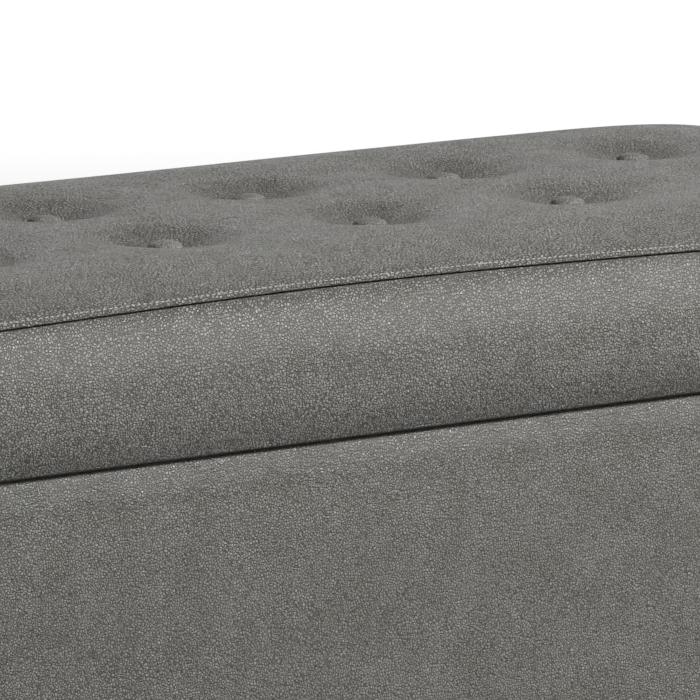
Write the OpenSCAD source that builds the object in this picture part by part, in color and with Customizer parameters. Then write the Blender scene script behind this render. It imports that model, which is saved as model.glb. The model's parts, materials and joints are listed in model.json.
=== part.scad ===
// Upholstered storage bench: a padded box on four short legs, closed by a deep button-tufted lid
// that swings on three butt hinges and is steadied by two folding lid supports.
// X runs along the bench, -Y is the front, Z is up, and the origin is on the floor under its middle.
// All sizes are in millimetres.

/* [Overall] */
// Length over the covers at the lid's seam
body_l = 1205; // [950:5:1500]
// Depth over the covers at the lid's seam
body_d = 456; // [370:2:600]
// Height of a leg with its glide
leg_h = 50; // [30:1:120]
// Height of the covered box, without the legs
box_h = 298; // [220:2:420]
// Height of the lid's side band, from its bottom edge to the seam
band_h = 98; // [72:1:130]
// How far the top panel crowns above the seam
crown_h = 16; // [12:1:40]
// How far the lid's side band bulges past the seam
side_bulge = 7; // [2:0.5:12]

/* [Covers and padding] */
// Thickness of the faux leather
cover_t = 1.5; // [0.8:0.1:2.5]
// Thickness of the foam sheet round the box
base_foam_t = 5; // [3:0.5:8]
// Thickness of the wadding over the lid's foam
wadding_t = 8; // [5:0.5:12]
// Thickness of the wadding where a button squeezes it
squeezed_t = 3; // [1:0.5:5]
// Thickness of the lining inside the box
lining_t = 1; // [0.5:0.1:2]
// Thickness of the dust covers
dust_t = 0.8; // [0.4:0.1:1.5]
// Radius of the box's upright corners
corner_r = 12; // [10:0.5:13]
// Radius of the lid's upright corners
lid_corner_r = 24; // [16:1:40]
// Radius of the lid's bottom edge
lid_edge_r = 8; // [6:0.5:12]
// How far the leather turns down inside the box
flap_h = 22; // [12:1:30]
// How far the leather turns in underneath
fold_w = 32; // [20:1:45]

/* [Frame] */
// Thickness of the box's side panels
panel_t = 15; // [12:0.5:20]
// Side of a corner post
post_w = 32; // [26:1:45]
// Thickness of the storage floor
floor_t = 9; // [5:0.5:15]
// Side of the cleats that carry the storage floor
cleat_w = 20; // [14:1:30]
// Width of the battens under the storage floor
batten_w = 60; // [30:2:90]
// Thickness of the lid's board
lid_board_t = 15; // [12:0.5:20]

/* [Buttons] */
// Spacing of the buttons along the bench
button_pitch_l = 163; // [120:1:220]
// Spacing of the rows of buttons
button_pitch_d = 137; // [100:1:180]
// Radius of a covered button
button_r = 11.5; // [9:0.5:16]
// Height of a button's dome
button_dome = 5; // [3:0.5:7]
// Height of a button's seat above the seam
button_seat = 2.5; // [1:0.5:8]
// Radius of a pocket where it leaves the crown
pocket_r = 38; // [25:1:50]

/* [Legs] */
// Width of a leg at its top
leg_top_w = 44; // [36:1:60]
// Width of a leg at its foot
leg_foot_w = 32; // [24:1:44]
// Radius of a leg's hanger bolt
leg_bolt_r = 4; // [3:0.5:5]
// Thickness of a foot glide
glide_t = 3; // [2:0.5:6]
// Radius of a foot glide
glide_r = 11; // [8:0.5:14]

/* [Hinges] */
// Length of a hinge
hinge_len = 65; // [50:1:90]
// Distance of the outer hinges from the ends of the bench
hinge_inset = 160; // [100:5:250]
// Thickness of a hinge leaf
leaf_t = 1.2; // [1:0.1:2]
// Radius of a hinge knuckle
knuckle_r = 3.5; // [3:0.1:4]
// Radius of a hinge pin
hinge_pin_r = 1.8; // [1.4:0.1:2.2]

/* [Lid supports] */
// Length of the lower arm between its pivots
lower_arm = 150; // [110:1:180]
// Distance of the housing's pivot in front of the hinges
housing_reach = 110; // [90:1:150]
// Depth of the housing's pivot below the hinges
housing_drop = 46; // [42:1:70]
// Depth of the lid bracket's pivot below the hinges
bracket_drop = 14; // [12:0.5:20]
// Width of an arm
arm_w = 16; // [12:0.5:20]
// Thickness of an arm
arm_t = 2.5; // [2:0.1:4]
// Radius of a support's rivets
rivet_r = 3; // [2.5:0.1:4]

/* [Hidden] */
$fn = 48;
EPS = 0.01;
SIDES = [-1, 1];
ENDS = ["left", "right"];
CORNERS = ["front_left", "front_right", "back_left", "back_right"];
HINGES = ["left", "middle", "right"];
SUPPORT_PIECES = ["support_housing", "lower_arm", "knee_rivet", "upper_arm", "lid_bracket", "lid_rivet"];
HINGE_PIECES = ["hinge_base_leaf", "hinge_lid_leaf", "hinge_pin"];

// Colours
LEATHER = [0.44, 0.435, 0.42];
BOARD = [0.76, 0.64, 0.47];
PINE = [0.83, 0.71, 0.52];
FOAM = [0.93, 0.89, 0.74];
WADDING = [0.95, 0.95, 0.93];
BLACK_CLOTH = [0.09, 0.09, 0.10];
STAINED = [0.14, 0.08, 0.05];
STEEL = [0.72, 0.72, 0.74];
BLACK_STEEL = [0.12, 0.12, 0.13];
NYLON = [0.85, 0.84, 0.80];

// The box: heights and outlines
skin_t = cover_t + base_foam_t;          // leather and foam outside a panel
rim_z = leg_h + box_h;                   // top of the box
fold_z = leg_h + dust_t;                 // underside of the turned-in leather
box_z = fold_z + cover_t;                // bottom edge of the panels
box_top = rim_z - cover_t;               // top edge of the panels
panel_h = box_top - box_z;
panel_l = body_l - 2 * skin_t;
panel_d = body_d - 2 * skin_t;
well_l = panel_l - 2 * panel_t;          // inside of the panels
well_d = panel_d - 2 * panel_t;
floor_z = box_z + cleat_w;               // underside of the storage floor
floor_play = 0.5;                        // between the storage floor and the panels
lining_z = floor_z + floor_t;
lining_top = box_top - flap_h;
fold_r = 3;                              // radius of the leather's bottom edge
foam_joint = 0.4;                        // gap between the four foam sheets
dust_inset = 14;                         // from the covers' outside to a dust cover's edge

// Posts and their screws
post_x = well_l / 2 - post_w / 2;
post_y = well_d / 2 - post_w / 2;
screw_r = 2;
screw_head_r = 4;
screw_head_t = 2.5;
screw_bite = 11;                         // how far a frame screw goes into a panel
post_screw_inset = 55;                   // from a post's ends to its first screws
post_screw_step = 20;                    // between the screws into one panel and the other

// Legs
bolt_in_leg = 30;
bolt_in_post = 34;
nut_barrel_r = 5.2;
nut_barrel_h = 12;
nut_flange_r = 11;
nut_flange_t = 1.5;
glide_pin_r = 1.6;
glide_pin_h = 12;

// Lid: heights and outlines
leaf_play = 0.2;                         // between the closed leaves of a hinge
lid_gap = 2 * leaf_t + leaf_play;
lid_z = rim_z + lid_gap;                 // underside of the closed lid
lid_fold_z = lid_z + dust_t;
board_z = lid_fold_z + cover_t;
board_top = board_z + lid_board_t;
seam_z = lid_z + band_h;
band_top = seam_z - lid_fold_z;          // the band's height above its folded edge
pad_in = cover_t + wadding_t;            // from the band's face at the seam to the foam
crown_power_d = 3;                       // a higher power gives a flatter top with rounder edges
crown_power_l = crown_power_d * body_l / body_d;
crown_step = 15;                         // degrees between the crown's outline points
bulge_steps = 10;
edge_steps = 5;

// Buttons: as many as the lid has room for
button_margin_l = 150;
button_margin_d = 120;
button_cols = 1 + floor((body_l - 2 * button_margin_l) / button_pitch_l);
button_rows = 1 + floor((body_d - 2 * button_margin_d) / button_pitch_d);
button_back_t = 2.5;
button_play = 1;                         // between a button and its pocket
seat_z = seam_z + button_seat;
pocket_depth = crown_h - button_seat;
pocket_over = 6;                         // how far a pocket's cone runs past the crown
twine_r = 1;
twine_hole_r = 1.4;
board_hole_r = 3;
anchor_r = 11;
anchor_t = 3;
anchor_pocket = 4;                       // depth of an anchor's counterbore
anchor_play = 1;

// Hinges
hinge_y = body_d / 2 + 1.5;
hinge_z = rim_z + lid_gap / 2;
hinge_x = body_l / 2 - hinge_inset;
knuckles = 5;
knuckle_gap = 0.3;
running_fit = 0.06;                      // radial play of a pin in its hole
pin_head_r = 2.9;
pin_head_t = 1.2;
leaf_y = panel_d / 2 - panel_t;          // front edge of a leaf, over the panel's inner face
hinge_screw_y = panel_d / 2 - panel_t / 2;
hinge_screw_r = 1.7;
hinge_screw_head_r = 3;
hinge_screw_head_t = 0.7;
hinge_screw_step = 22;
base_screw_len = 18;
lid_screw_len = 11;

// Lid supports, stacked inwards from the lining of an end wall. Hinge, housing pivot, knee and lid
// pivot are the corners of a parallelogram, so the arms turn exactly as far as the lid does.
wall_x = well_l / 2 - lining_t;
plate_t = 2;
drum_t = 14;
drum_r = 17;
arm_gap = 0.5;
lower_x = wall_x - plate_t - drum_t - arm_gap;   // outer face of the lower arm
upper_x = lower_x - arm_t - arm_gap;             // outer face of the upper arm
tab_x = upper_x - arm_t - arm_gap;               // outer face of the lid bracket's tab
spindle_r = 4;
rivet_head_r = 5.5;
rivet_head_t = 1.6;
arm_reach = sqrt(lower_arm * lower_arm - bracket_drop * bracket_drop);
housing_at = [hinge_y - housing_reach, hinge_z - housing_drop];
bracket_at = [hinge_y - arm_reach, hinge_z - bracket_drop];
knee_at = housing_at + bracket_at - [hinge_y, hinge_z];
housing_plate = [64, 34];
housing_screw_step = 52;
support_screw_r = 2;
support_screw_head_r = 3.8;
support_screw_head_t = 1.5;
support_screw_len = 12;
flange_w = 30;                           // width of the lid bracket's flange
flange_l = 54;
flange_screw_step = 38;
tab_w = 20;

// Lid bumpers
bumper_r = 6;
bumper_play = 0.1;
bumper_inset = 60;

// ---- Shared shapes ----

module rounded_2d(l, d, r) {
    for (x = SIDES, y = SIDES)
        translate([x * (l / 2 - r), y * (d / 2 - r)]) circle(r);
    square([l - 2 * r, d], center = true);
    square([l, d - 2 * r], center = true);
}

// A slab with upright round corners, from z to z + h
module slab(l, d, r, z, h) {
    translate([0, 0, z]) linear_extrude(h) rounded_2d(l, d, r);
}

// The inside of the box seen from above, between the four posts
module well_2d(inset) {
    difference() {
        square([well_l - 2 * inset, well_d - 2 * inset], center = true);
        for (x = SIDES, y = SIDES)
            translate([x * post_x, y * post_y]) square(post_w + 2 * inset, center = true);
    }
}

// Sweeps a profile round a rectangle with round corners. In the profile x = 0 is the corner's
// centre line and x = r the outside.
module around(l, d, r) {
    for (s = [0, 1]) {
        rotate([0, 0, 180 * s]) translate([0, d / 2 - r, 0])
            rotate([90, 0, 90]) linear_extrude(l - 2 * r, center = true) children();
        rotate([0, 0, 180 * s]) translate([l / 2 - r, 0, 0])
            rotate([90, 0, 0]) linear_extrude(d - 2 * r, center = true) children();
    }
    for (x = SIDES, y = SIDES)
        translate([x * (l / 2 - r), y * (d / 2 - r), 0])
            rotate([0, 0, x > 0 ? (y > 0 ? 0 : -90) : (y > 0 ? 90 : 180)])
                rotate_extrude(angle = 90) children();
}

// A quarter of a ring in the profile's plane, with its centre at the given point
module quarter_2d(at, outer, inner, up) {
    intersection() {
        translate(at) difference() {
            circle(outer);
            circle(inner);
        }
        translate([at[0], up ? at[1] : at[1] - outer]) square(outer);
    }
}

// Draws for the right-hand end, or mirrored for the left-hand one
module on_side(s) {
    if (s > 0) children();
    else mirror([1, 0, 0]) children();
}

// A rod along X, from x to x + h, at a [y, z] place
module rod(at, r, x, h) {
    translate([x, at[0], at[1]]) rotate([0, 90, 0]) cylinder(h = h, r = r);
}

// A flat bar with round ends in the YZ plane, from one [y, z] place to another
module bar(from, to, x, t, w) {
    run = to - from;
    rod(from, w / 2, x, t);
    rod(to, w / 2, x, t);
    translate([x + t / 2, from[0], from[1]]) rotate([atan2(run[1], run[0]), 0, 0])
        translate([0, norm(run) / 2, 0]) cube([t, norm(run), w], center = true);
}

// ---- Box frame ----

// One wall of the box: its size and the place of its middle
module wall(size, at) {
    translate([at[0], at[1], box_z + panel_h / 2]) cube([size[0], size[1], panel_h], center = true);
}

module front_panel() color(BOARD) difference() {
    wall([panel_l, panel_t], [0, -(panel_d - panel_t) / 2]);
    frame_screw_set();
}

module back_panel() color(BOARD) difference() {
    wall([panel_l, panel_t], [0, (panel_d - panel_t) / 2]);
    frame_screw_set();
    hinge_base_screw_set();
}

module end_panel(s) color(BOARD) difference() {
    wall([panel_t, well_d], [s * (panel_l - panel_t) / 2, 0]);
    frame_screw_set();
    support_base_screw_set();
}

// s and t are the signs of the post's X and Y
module post(s, t) color(PINE) difference() {
    translate([s * post_x, t * post_y, box_z + panel_h / 2]) cube([post_w, post_w, panel_h], center = true);
    frame_screw_set();
    at_legs() leg_bolt();
    at_legs() tee_nut_body();
}

// Wood screw with a flat head at the origin, pointing along +Z
module wood_screw(head_r, head_t, r, length) {
    cylinder(h = head_t, r = head_r);
    translate([0, 0, head_t - EPS]) cylinder(h = length - head_t + EPS, r = r);
}

// Screws from the posts' inner faces into the panels, two into each
module frame_screw_set() {
    inner_x = well_l / 2 - post_w;
    inner_y = well_d / 2 - post_w;
    for (s = SIDES, t = SIDES, end = SIDES) {
        z = box_z + panel_h / 2 + end * (panel_h / 2 - post_screw_inset);
        translate([s * post_x, t * inner_y, z]) rotate([-90 * t, 0, 0])
            wood_screw(screw_head_r, screw_head_t, screw_r, post_w + screw_bite);
        translate([s * inner_x, t * post_y, z - end * post_screw_step]) rotate([0, 90 * s, 0])
            wood_screw(screw_head_r, screw_head_t, screw_r, post_w + screw_bite);
    }
}

module frame_screws() color(STEEL) frame_screw_set();

module floor_panel() color(BOARD)
    translate([0, 0, floor_z]) linear_extrude(floor_t) well_2d(floor_play);

module floor_cleats() color(PINE) translate([0, 0, box_z + cleat_w / 2]) for (s = SIDES) {
    translate([0, s * (well_d - cleat_w) / 2, 0])
        cube([well_l - 2 * post_w, cleat_w, cleat_w], center = true);
    translate([s * (well_l - cleat_w) / 2, 0, 0])
        cube([cleat_w, well_d - 2 * post_w, cleat_w], center = true);
}

module floor_battens() color(PINE) for (s = SIDES)
    translate([s * well_l / 6, 0, box_z + cleat_w / 2])
        cube([batten_w, well_d - 2 * cleat_w, cleat_w], center = true);

// ---- Box covers ----

// Foam round the panels, its top edge cut off at an angle under the leather
module foam_wrap() {
    around(body_l, body_d, corner_r) translate([corner_r - skin_t, box_z])
        polygon([
            [0, 0],
            [base_foam_t - fold_r + cover_t, 0],
            [base_foam_t, fold_r - cover_t],
            [base_foam_t, panel_h - base_foam_t],
            [0, panel_h]
        ]);
}

// Four sheets: long ones at the front and back, short ones between them at the ends
module base_foam() color(FOAM) difference() {
    foam_wrap();
    slab(panel_l, panel_d, EPS, box_z - 1, panel_h + 2);
    for (s = SIDES, t = SIDES)
        translate([s * body_l / 2, t * (panel_d / 2 - foam_joint / 2), box_z + panel_h / 2])
            cube([2 * corner_r, foam_joint, panel_h + 2], center = true);
}

module base_cover() color(LEATHER) difference() {
    union() {
        around(body_l, body_d, corner_r) {
            translate([corner_r - cover_t, fold_z + fold_r])
                square([cover_t, rim_z - skin_t - fold_z - fold_r]);
            quarter_2d([corner_r - skin_t, rim_z - skin_t], skin_t, base_foam_t, true);
            quarter_2d([corner_r - fold_r, fold_z + fold_r], fold_r, fold_r - cover_t, false);
        }
        translate([0, 0, box_top]) linear_extrude(cover_t) difference() {
            rounded_2d(panel_l, panel_d, corner_r - skin_t);
            well_2d(cover_t);
        }
        translate([0, 0, lining_top]) linear_extrude(flap_h + EPS) difference() {
            well_2d(0);
            well_2d(cover_t);
        }
        translate([0, 0, fold_z]) linear_extrude(cover_t) difference() {
            rounded_2d(body_l - 2 * fold_r, body_d - 2 * fold_r, corner_r - fold_r);
            square([body_l - 2 * fold_w, body_d - 2 * fold_w], center = true);
        }
    }
    at_legs() leg_bolt();
    at_legs() tee_nut_body();
    hinge_base_screw_set();
}

module storage_lining() color(BLACK_CLOTH) difference() {
    translate([0, 0, lining_z]) linear_extrude(lining_top - lining_z) well_2d(0);
    translate([0, 0, lining_z + lining_t]) linear_extrude(lining_top) well_2d(lining_t);
    support_base_screw_set();
}

module base_dust_cover() color(BLACK_CLOTH) difference() {
    translate([0, 0, leg_h]) linear_extrude(dust_t)
        square([body_l - 2 * dust_inset, body_d - 2 * dust_inset], center = true);
    at_legs() translate([0, 0, leg_h - 1]) cylinder(h = dust_t + 2, r = leg_bolt_r + 1);
}

// ---- Legs ----

module at_legs() {
    for (x = SIDES, y = SIDES) translate([x * post_x, y * post_y, 0]) children();
}

// A hanger bolt: its lower half in the leg, its upper half in the tee nut and post
module leg_bolt() {
    translate([0, 0, leg_h - bolt_in_leg]) cylinder(h = bolt_in_leg + bolt_in_post, r = leg_bolt_r);
}

module tee_nut_body() {
    translate([0, 0, box_z]) cylinder(h = nut_flange_t, r = nut_flange_r);
    translate([0, 0, box_z]) cylinder(h = nut_barrel_h, r = nut_barrel_r);
}

module glide() {
    cylinder(h = glide_t, r = glide_r);
    cylinder(h = glide_t + glide_pin_h, r = glide_pin_r);
}

module leg(s, t) color(STAINED) difference() {
    translate([s * post_x, t * post_y, glide_t]) rotate([0, 0, 45])
        cylinder(h = leg_h - glide_t, r1 = leg_foot_w / sqrt(2), r2 = leg_top_w / sqrt(2), $fn = 4);
    at_legs() leg_bolt();
    at_legs() glide();
}

module leg_bolts() color(STEEL) at_legs() leg_bolt();

module leg_tee_nuts() color(STEEL) at_legs() difference() {
    tee_nut_body();
    leg_bolt();
}

module foot_glides() color(NYLON) at_legs() glide();

module lid_bumpers() color(BLACK_CLOTH) for (s = [-1, 0, 1])
    translate([s * (body_l / 2 - bumper_inset), -hinge_screw_y, rim_z])
        cylinder(h = lid_gap - bumper_play, r = bumper_r);

// ---- Lid padding and covers ----

// The band's outside as [outwards from the face at the seam, up from the folded edge], set in by i
function band_outline(i) = concat(
    [for (k = [0:edge_steps]) let (a = 90 * k / edge_steps)
        [-lid_edge_r + (lid_edge_r - i) * sin(a), lid_edge_r - (lid_edge_r - i) * cos(a)]],
    [for (k = [1:bulge_steps]) let (t = k / bulge_steps)
        [4 * side_bulge * t * (1 - t) - i, lid_edge_r + t * (band_top - lid_edge_r)]]
);

function reversed(points) = [for (k = [len(points) - 1:-1:0]) points[k]];

// A crowned outline over a width w, h high in the middle
function crown_outline(w, h, power) =
    [for (a = [0:crown_step:180]) let (x = cos(a)) [w / 2 * x, h * sqrt(max(0, 1 - pow(abs(x), power)))]];

// The crown above the seam, set in by i
module crown(i) {
    translate([0, 0, seam_z]) intersection() {
        rotate([90, 0, 90]) linear_extrude(body_l, center = true)
            polygon(crown_outline(body_d - 2 * i, crown_h - i, crown_power_d));
        rotate([90, 0, 0]) linear_extrude(body_d, center = true)
            polygon(crown_outline(body_l - 2 * i, crown_h - i, crown_power_l));
        linear_extrude(crown_h) rounded_2d(body_l - 2 * i, body_d - 2 * i, lid_corner_r - i);
    }
}

module at_buttons() {
    for (c = [0:button_cols - 1], r = [0:button_rows - 1])
        translate([(c - (button_cols - 1) / 2) * button_pitch_l, (r - (button_rows - 1) / 2) * button_pitch_d, 0])
            children();
}

// The pockets that the buttons pull into the pad, grown by i, with the twines' holes
module pockets(i) {
    low_r = button_r + button_play + i;
    slope = (pocket_r - button_r - button_play) / pocket_depth;
    high = pocket_depth + pocket_over + i;
    at_buttons() {
        translate([0, 0, seat_z - i]) cylinder(h = high, r1 = low_r, r2 = low_r + slope * high);
        translate([0, 0, board_z - 1]) cylinder(h = seat_z - board_z + 1, r = twine_hole_r);
    }
}

module lid_top_panel() color(LEATHER) difference() {
    union() {
        difference() {
            crown(0);
            crown(cover_t);
        }
        intersection() {
            crown(0);
            pocket_walls();
        }
    }
    pockets(0);
}

// The leather that lines a pocket
module pocket_walls() difference() {
    pockets(cover_t);
    translate([0, 0, board_z - 2]) cube([body_l, body_d, 2 * (seat_z - cover_t - board_z + 2)], center = true);
}

module lid_band() color(LEATHER) difference() {
    union() {
        translate([0, 0, lid_fold_z]) around(body_l, body_d, lid_corner_r)
            translate([lid_corner_r, 0])
                polygon(concat(band_outline(0), reversed(band_outline(cover_t))));
        translate([0, 0, lid_fold_z]) linear_extrude(cover_t) difference() {
            rounded_2d(body_l - 2 * lid_edge_r, body_d - 2 * lid_edge_r, lid_corner_r - lid_edge_r);
            square([body_l - 2 * fold_w, body_d - 2 * fold_w], center = true);
        }
    }
    hinge_lid_screw_set();
}

// Foam block on the board, with a crowned top
module foam_block() {
    slab(body_l - 2 * pad_in, body_d - 2 * pad_in, lid_corner_r - pad_in, board_top, seam_z - board_top);
    crown(pad_in);
}

module lid_foam() color(FOAM) difference() {
    foam_block();
    pockets(cover_t + squeezed_t);
}

// Wadding over the foam's top and round its sides and the board's edge
module lid_wadding() color(WADDING) difference() {
    union() {
        translate([0, 0, lid_fold_z]) around(body_l, body_d, lid_corner_r)
            translate([lid_corner_r, 0])
                polygon(concat(
                    [[-pad_in, cover_t]],
                    band_outline(cover_t),
                    [[-pad_in, band_top]]
                ));
        difference() {
            crown(cover_t);
            crown(pad_in);
        }
        intersection() {
            crown(cover_t);
            pockets(cover_t + squeezed_t);
        }
    }
    pockets(cover_t);
}

module lid_board() color(BOARD) difference() {
    slab(body_l - 2 * pad_in, body_d - 2 * pad_in, lid_corner_r - pad_in, board_z, lid_board_t);
    at_buttons() {
        translate([0, 0, board_z - 1]) cylinder(h = lid_board_t + 2, r = board_hole_r);
        translate([0, 0, board_z - 1]) cylinder(h = anchor_pocket + 1, r = anchor_r + anchor_play);
    }
    hinge_lid_screw_set();
    support_lid_screw_set();
}

module lid_dust_cover() color(BLACK_CLOTH) difference() {
    translate([0, 0, lid_z]) linear_extrude(dust_t)
        square([body_l - 2 * dust_inset, body_d - 2 * dust_inset], center = true);
    hinge_lid_screw_set();
    support_lid_screw_set();
}

// ---- Buttons ----

module tuft_buttons() color(LEATHER) at_buttons() translate([0, 0, seat_z]) rotate_extrude() {
    high = button_back_t + button_dome;
    ball_r = (button_r * button_r + button_dome * button_dome) / (2 * button_dome);
    intersection() {
        translate([0, high - ball_r]) circle(ball_r, $fn = 96);
        square([button_r, high]);
    }
}

module tuft_twines() color(NYLON) at_buttons()
    translate([0, 0, board_z]) cylinder(h = seat_z - board_z, r = twine_r);

module tuft_anchors() color(NYLON) at_buttons() translate([0, 0, board_z + anchor_pocket - anchor_t])
    difference() {
        cylinder(h = anchor_t, r = anchor_r);
        translate([0, 0, -1]) cylinder(h = anchor_t + 2, r = twine_r);
    }

// ---- Hinges ----

knuckle_pitch = hinge_len / knuckles;

// One knuckle of a hinge, numbered from its left-hand end
module knuckle(x, k, r, gap) {
    rod([hinge_y, hinge_z], r, x - hinge_len / 2 + k * knuckle_pitch + gap / 2, knuckle_pitch - gap);
}

// A leaf with its knuckles: top = 1 for the lid's, -1 for the box's
module leaf(x, top) difference() {
    first = top > 0 ? 1 : 0;
    leaf_at = hinge_z + top * (leaf_play + leaf_t) / 2;
    back_y = hinge_y - knuckle_r - knuckle_gap;
    union() {
        translate([x, (leaf_y + back_y) / 2, leaf_at])
            cube([hinge_len, back_y - leaf_y, leaf_t], center = true);
        for (k = [first:2:knuckles - 1]) {
            knuckle(x, k, knuckle_r, knuckle_gap);
            translate([x - hinge_len / 2 + (k + 0.5) * knuckle_pitch, (hinge_y + back_y - 1) / 2, leaf_at])
                cube([knuckle_pitch - knuckle_gap, hinge_y - back_y + 1, leaf_t], center = true);
        }
    }
    rod([hinge_y, hinge_z], hinge_pin_r + running_fit, x - hinge_len, 2 * hinge_len);
    if (top > 0) hinge_lid_screw_set();
    else hinge_base_screw_set();
}

module hinge_pin(x) color(STEEL) {
    rod([hinge_y, hinge_z], hinge_pin_r, x - hinge_len / 2, hinge_len);
    for (s = SIDES)
        rod([hinge_y, hinge_z], pin_head_r, x + s * (hinge_len + pin_head_t) / 2 - pin_head_t / 2, pin_head_t);
}

module at_hinge_screws() {
    for (h = [-1, 0, 1], k = [-1, 0, 1])
        translate([h * hinge_x + k * hinge_screw_step, hinge_screw_y, 0]) children();
}

module hinge_base_screw_set() at_hinge_screws()
    translate([0, 0, hinge_z - leaf_play / 2]) mirror([0, 0, 1])
        wood_screw(hinge_screw_head_r, hinge_screw_head_t, hinge_screw_r, base_screw_len);

module hinge_lid_screw_set() at_hinge_screws()
    translate([0, 0, hinge_z + leaf_play / 2])
        wood_screw(hinge_screw_head_r, hinge_screw_head_t, hinge_screw_r, lid_screw_len);

// ---- Lid supports ----

// Plate, spring drum and spindle, fixed to the end wall
module support_housing(s) color(BLACK_STEEL) on_side(s) difference() {
    union() {
        translate([wall_x - plate_t / 2, housing_at[0], housing_at[1]])
            cube([plate_t, housing_plate[0], housing_plate[1]], center = true);
        rod(housing_at, drum_r, wall_x - plate_t - drum_t, drum_t + EPS);
        rod(housing_at, spindle_r, lower_x - arm_t - arm_gap, arm_t + 2 * arm_gap + EPS);
    }
    support_base_screw_set();
}

module lower_arm_bar(s) color(STEEL) on_side(s) difference() {
    bar(housing_at, knee_at, lower_x - arm_t, arm_t, arm_w);
    rod(housing_at, spindle_r + running_fit, lower_x - 2 * arm_t, 3 * arm_t);
    rod(knee_at, rivet_r, lower_x - 2 * arm_t, 3 * arm_t);
}

// A rivet through two plates between x and x + t
module rivet(at, x, t) {
    rod(at, rivet_r, x, t);
    rod(at, rivet_head_r, x - rivet_head_t, rivet_head_t);
    rod(at, rivet_head_r, x + t, rivet_head_t);
}

module knee_rivet(s) color(STEEL) on_side(s)
    rivet(knee_at, upper_x - arm_t - arm_gap / 2, 2 * arm_t + 1.5 * arm_gap);

module upper_arm_bar(s) color(STEEL) on_side(s) difference() {
    bar(bracket_at, knee_at, upper_x - arm_t, arm_t, arm_w);
    for (at = [bracket_at, knee_at]) rod(at, rivet_r + running_fit, upper_x - 2 * arm_t, 3 * arm_t);
}

module lid_rivet(s) color(STEEL) on_side(s)
    rivet(bracket_at, tab_x - plate_t, plate_t + arm_t + 1.5 * arm_gap);

// Flange under the lid and a tab down to the upper arm
module lid_bracket(s) color(BLACK_STEEL) on_side(s) difference() {
    union() {
        translate([tab_x - flange_w / 2, bracket_at[0], lid_z - plate_t / 2])
            cube([flange_w, flange_l, plate_t], center = true);
        translate([tab_x - plate_t / 2, bracket_at[0], (lid_z + bracket_at[1]) / 2])
            cube([plate_t, tab_w, lid_z - bracket_at[1]], center = true);
        rod(bracket_at, tab_w / 2, tab_x - plate_t, plate_t);
    }
    rod(bracket_at, rivet_r, tab_x - 2 * plate_t, 3 * plate_t);
    support_lid_screw_set();
}

module support_base_screw_set() for (s = SIDES, k = SIDES) on_side(s)
    translate([wall_x - plate_t, housing_at[0] + k * housing_screw_step / 2, housing_at[1]])
        rotate([0, 90, 0]) wood_screw(support_screw_head_r, support_screw_head_t, support_screw_r, support_screw_len);

module support_lid_screw_set() for (s = SIDES, k = SIDES) on_side(s)
    translate([tab_x - plate_t - (flange_w - plate_t) / 2, bracket_at[0] + k * flange_screw_step / 2, lid_z - plate_t])
        wood_screw(support_screw_head_r, support_screw_head_t, support_screw_r, support_screw_len);

// ---- Nodes ----

front_panel();
back_panel();
frame_screws();
floor_panel();
floor_cleats();
floor_battens();
base_foam();
base_cover();
storage_lining();
base_dust_cover();
leg_bolts();
leg_tee_nuts();
foot_glides();
lid_bumpers();
lid_board();
lid_foam();
lid_wadding();
lid_band();
lid_top_panel();
lid_dust_cover();
tuft_buttons();
tuft_twines();
tuft_anchors();
color(STEEL) hinge_base_screw_set();  // hinge_base_screws
color(STEEL) hinge_lid_screw_set();  // hinge_lid_screws
color(STEEL) support_base_screw_set();  // support_base_screws
color(STEEL) support_lid_screw_set();  // support_lid_screws
for (c = [0:3]) {
    s = SIDES[c % 2];
    t = SIDES[floor(c / 2)];
    post(s, t);
    leg(s, t);
}
for (h = [0:2]) {
    x = (h - 1) * hinge_x;
    color(STEEL) leaf(x, -1);
    color(STEEL) leaf(x, 1);
    hinge_pin(x);
}
for (e = [0, 1]) {
    s = SIDES[e];
    end_panel(s);
    support_housing(s);
    lower_arm_bar(s);
    knee_rivet(s);
    upper_arm_bar(s);
    lid_bracket(s);
    lid_rivet(s);
}
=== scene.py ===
"""The looks of an upholstered storage bench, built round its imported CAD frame.

Everything is in metres, in the frame's axes: X along the bench, -Y its front, Z up.
"""

import json
import math

import bpy
import numpy as np
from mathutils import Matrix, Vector
from mathutils.geometry import delaunay_2d_cdt


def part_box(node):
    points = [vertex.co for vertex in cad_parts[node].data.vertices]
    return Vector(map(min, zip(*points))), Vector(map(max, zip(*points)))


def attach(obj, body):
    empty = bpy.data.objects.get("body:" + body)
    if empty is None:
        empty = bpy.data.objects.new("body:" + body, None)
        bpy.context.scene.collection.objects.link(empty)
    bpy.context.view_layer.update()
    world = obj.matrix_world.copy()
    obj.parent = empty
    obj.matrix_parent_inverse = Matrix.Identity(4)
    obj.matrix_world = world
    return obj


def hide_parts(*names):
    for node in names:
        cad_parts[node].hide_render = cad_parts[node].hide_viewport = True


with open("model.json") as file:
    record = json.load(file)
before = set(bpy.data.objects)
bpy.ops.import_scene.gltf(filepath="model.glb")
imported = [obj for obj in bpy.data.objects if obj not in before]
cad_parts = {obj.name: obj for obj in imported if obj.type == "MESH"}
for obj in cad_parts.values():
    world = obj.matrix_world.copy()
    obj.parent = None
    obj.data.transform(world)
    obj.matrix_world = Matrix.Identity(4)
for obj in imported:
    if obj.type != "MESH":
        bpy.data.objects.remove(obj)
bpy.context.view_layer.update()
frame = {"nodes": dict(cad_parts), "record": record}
nodes = frame["nodes"]
MM = 0.001


def box(node):
    """Lowest and highest corner of a CAD node."""
    return [np.array(tuple(corner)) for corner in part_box(node)]


# ---- Sizes that the frame gives ----

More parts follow.
